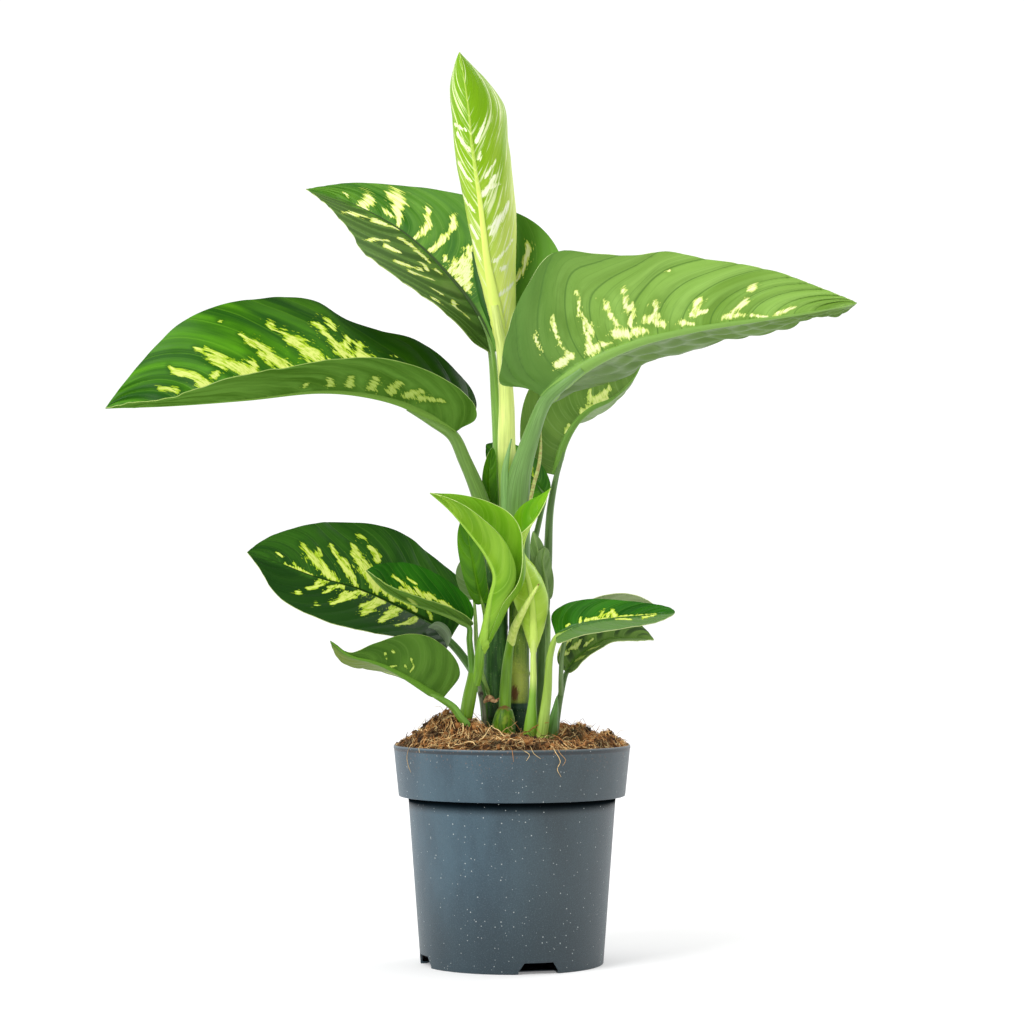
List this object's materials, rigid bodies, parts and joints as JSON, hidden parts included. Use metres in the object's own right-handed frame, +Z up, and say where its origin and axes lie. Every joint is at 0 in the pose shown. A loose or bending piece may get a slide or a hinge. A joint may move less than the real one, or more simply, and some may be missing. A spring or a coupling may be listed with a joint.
{
  "type": "potted foliage plant",
  "caption": "Dieffenbachia with large variegated leaves, rolled young leaves and a tall spear leaf, growing in a round plastic nursery pot filled with coir mix.",
  "frame": {"origin": "on the pot's axis, at the flat underside of the pot's floor", "axes": "+Z up along the pot's axis, -Y towards the side that the picture shows, +X towards the single big leaf that lies over to the right in it"},
  "size_m": [0.5287, 0.1917, 0.6557],
  "materials": {
    "pot_plastic": "dark blue-grey recycled plastic, matte, with pale flecks and a fine moulded grain",
    "growing_mix": "loose brown coir and peat with fibres and crumbs",
    "mature_leaf": "satin dark green with ragged yellow-green blotches along the midrib, duller and paler underneath",
    "young_leaf": "satin light yellow-green, faintly veined",
    "cane": "smooth waxy blue-green with pale specks",
    "cane_olive": "smooth waxy olive green, darker at the foot, with a brown leaf scar",
    "shoot": "smooth waxy bright green"
  },
  "bodies": {
    "root": {"pot": "pot_plastic", "soil": "growing_mix", "cane_left": "cane", "cane_right": "cane_olive", "stalk_left": "shoot", "shoot_front": "shoot", "sheath_right": "cane", "leaf_spear": "young_leaf", "leaf_upper_left": "mature_leaf", "leaf_right": "mature_leaf", "leaf_left": "mature_leaf", "leaf_back_right": "mature_leaf", "leaf_back_dark": "mature_leaf", "leaf_bud_left": "young_leaf", "leaf_low_left": "mature_leaf", "leaf_low_left_small": "mature_leaf", "leaf_low_turned": "mature_leaf", "leaf_young_left": "young_leaf", "leaf_young_right": "young_leaf", "leaf_low_right": "mature_leaf", "leaf_low_right_back": "mature_leaf", "leaf_low_right_far": "mature_leaf", "leaf_small_left": "young_leaf", "leaf_small_left_grey": "mature_leaf", "leaf_small_right": "mature_leaf", "leaf_small_right_front": "mature_leaf"}
  },
  "joints": []
}
